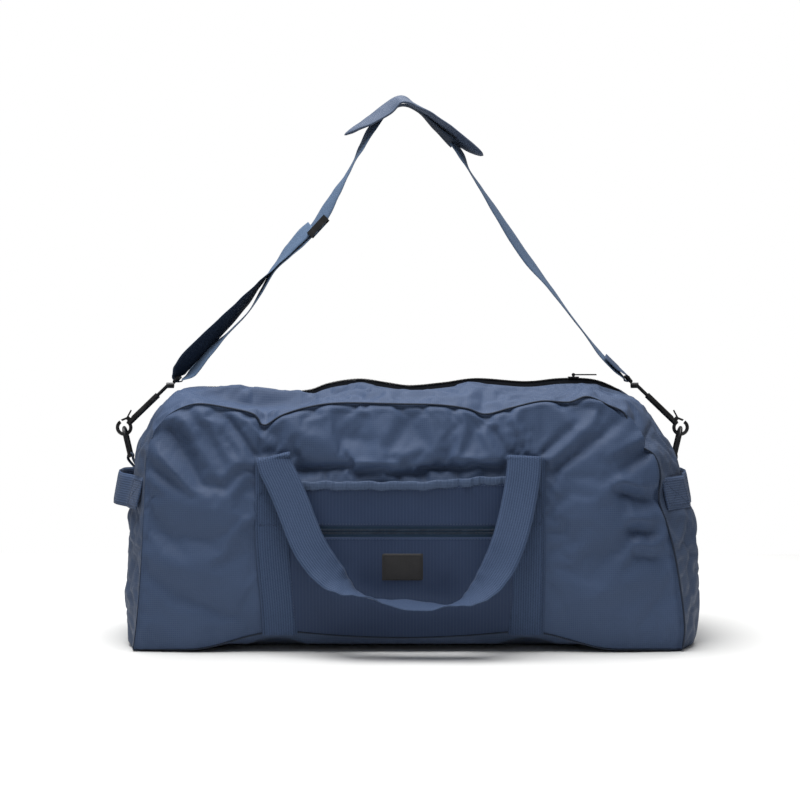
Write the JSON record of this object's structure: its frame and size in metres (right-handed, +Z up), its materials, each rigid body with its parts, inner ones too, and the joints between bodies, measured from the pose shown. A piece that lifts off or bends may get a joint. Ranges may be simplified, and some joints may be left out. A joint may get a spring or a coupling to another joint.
{
  "type": "foldable duffel bag",
  "caption": "Foldable nylon duffel bag with a zipped mouth, a zipped front pocket, two webbing carry handles, grab loops on both ends and a padded shoulder strap on snap hooks.",
  "frame": {"origin": "middle of the bag's bottom face, on the surface that it stands on", "axes": "+X along the length to the right as seen from the pocket side, +Y from the pocket side to the rear, +Z up"},
  "size_m": [0.6542, 0.3882, 0.6142],
  "materials": {
    "nylon": "satin ripstop nylon",
    "piping": "bound seam",
    "webbing": "38 mm woven webbing",
    "strap_webbing": "25 mm woven webbing",
    "zip_tape": "woven zip tape with a nylon coil",
    "black_metal": "semi-gloss black",
    "black_plastic": "moulded black",
    "label": "matte, blank"
  },
  "bodies": {
    "root": {"base_center": "nylon", "base_front": "nylon", "base_rear": "nylon", "end_center_left": "nylon", "end_center_right": "nylon", "end_left_front": "nylon", "end_left_rear": "nylon", "end_right_front": "nylon", "end_right_rear": "nylon", "gusset_front": "nylon", "gusset_rear": "nylon", "zip_end_left": "zip_tape", "zip_end_right": "zip_tape", "grab_left": "webbing", "grab_right": "webbing", "ring_tab_left": "strap_webbing", "ring_tab_right": "strap_webbing", "hook_left": "black_plastic", "hook_right": "black_plastic"},
    "front": {"front_panel": "nylon", "front_piping": "piping", "front_web_left": "webbing", "front_web_right": "webbing", "pocket_lower": "nylon", "pocket_upper": "nylon", "pocket_zip": "zip_tape", "label_patch": "label"},
    "rear": {"rear_panel": "nylon", "rear_piping": "piping", "rear_web_left": "webbing", "rear_web_right": "webbing"},
    "mouth_front": {"placket_front": "nylon", "zip_front": "zip_tape"},
    "mouth_rear": {"placket_rear": "nylon", "zip_rear": "zip_tape"},
    "main_slider": {"main_slider": "black_metal"},
    "main_pull": {"main_pull": "black_metal"},
    "pocket_slider": {"pocket_slider": "black_metal"},
    "pocket_pull": {"pocket_pull": "black_metal"},
    "front_handle": {"front_handle": "webbing"},
    "rear_handle": {"rear_handle": "webbing"},
    "strap": {"strap_left": "strap_webbing", "strap_return": "strap_webbing", "strap_right": "strap_webbing", "shoulder_pad": "nylon", "eye_left": "black_plastic", "eye_right": "black_plastic"},
    "strap_glide": {"strap_glide": "black_plastic"},
    "d_ring_left": {"d_ring_left": "black_metal"},
    "d_ring_right": {"d_ring_right": "black_metal"},
    "gate_left": {"gate_left": "black_metal"},
    "gate_right": {"gate_right": "black_metal"}
  },
  "joints": [
    {"name": "flatten_front", "type": "slide", "parent": "root", "child": "front", "axis": [0, 1, 0], "range_m": [0, 0.065], "deforming": ["base_front", "end_left_front", "end_right_front", "gusset_front"]},
    {"name": "flatten_rear", "type": "slide", "parent": "root", "child": "rear", "axis": [0, -1, 0], "range_m": [0, 0.065], "deforming": ["base_rear", "end_left_rear", "end_right_rear", "gusset_rear"]},
    {"name": "main_zip", "type": "slide", "parent": "root", "child": "main_slider", "axis": [1, 0, 0], "range_m": [-0.39, 0]},
    {"name": "mouth_front", "type": "slide", "parent": "root", "child": "mouth_front", "axis": [0, -0.9063, 0.4226], "range_m": [0, 0.0181], "deforming": ["placket_front", "zip_front"]},
    {"name": "mouth_rear", "type": "slide", "parent": "root", "child": "mouth_rear", "axis": [0, 0.9063, 0.4226], "range_m": [0, 0.0181], "deforming": ["placket_rear", "zip_rear"]},
    {"name": "main_pull", "type": "hinge", "parent": "main_slider", "child": "main_pull", "pos_m": [0.195, 0, 0.2972], "axis": [0, -1, 0], "range_deg": [0, 165]},
    {"name": "pocket_zip", "type": "slide", "parent": "front", "child": "pocket_slider", "axis": [1, 0, 0], "range_m": [-0.206, 0]},
    {"name": "pocket_pull", "type": "hinge", "parent": "pocket_slider", "child": "pocket_pull", "pos_m": [0.103, -0.1392, 0.132], "axis": [-1, 0, 0], "range_deg": [0, 95]},
    {"name": "front_handle", "type": "hinge", "parent": "front", "child": "front_handle", "pos_m": [0, -0.1374, 0.205], "axis": [-1, 0, 0], "range_deg": [0, 160]},
    {"name": "rear_handle", "type": "hinge", "parent": "rear", "child": "rear_handle", "pos_m": [0, 0.1374, 0.205], "axis": [1, 0, 0], "range_deg": [0, 160]},
    {"name": "strap_swing", "type": "hinge", "parent": "root", "child": "strap", "pos_m": [0, 0, 0.285], "axis": [-1, 0, 0], "range_deg": [-34, 34]},
    {"name": "strap_adjust", "type": "slide", "parent": "strap", "child": "strap_glide", "axis": [0.6823, 0, 0.7311], "range_m": [-0.11, 0], "deforming": ["strap_return"]},
    {"name": "d_ring_left", "type": "hinge", "parent": "root", "child": "d_ring_left", "pos_m": [-0.31007, 0, 0.20493], "axis": [0, 1, 0], "range_deg": [-5, 5]},
    {"name": "d_ring_right", "type": "hinge", "parent": "root", "child": "d_ring_right", "pos_m": [0.31007, 0, 0.20493], "axis": [0, 1, 0], "range_deg": [-5, 5]},
    {"name": "gate_left", "type": "hinge", "parent": "root", "child": "gate_left", "pos_m": [-0.3131, 0, 0.24753], "axis": [0, -1, 0], "range_deg": [0, 22], "stiffness_Nm_per_rad": 0.02},
    {"name": "gate_right", "type": "hinge", "parent": "root", "child": "gate_right", "pos_m": [0.3131, 0, 0.24753], "axis": [0, 1, 0], "range_deg": [0, 22], "stiffness_Nm_per_rad": 0.02}
  ],
  "couplings": [
    {"joint": "flatten_rear", "follows": "flatten_front", "ratio": 1},
    {"joint": "mouth_front", "follows": "main_zip", "ratio": -0.046154},
    {"joint": "mouth_rear", "follows": "main_zip", "ratio": -0.046154}
  ]
}
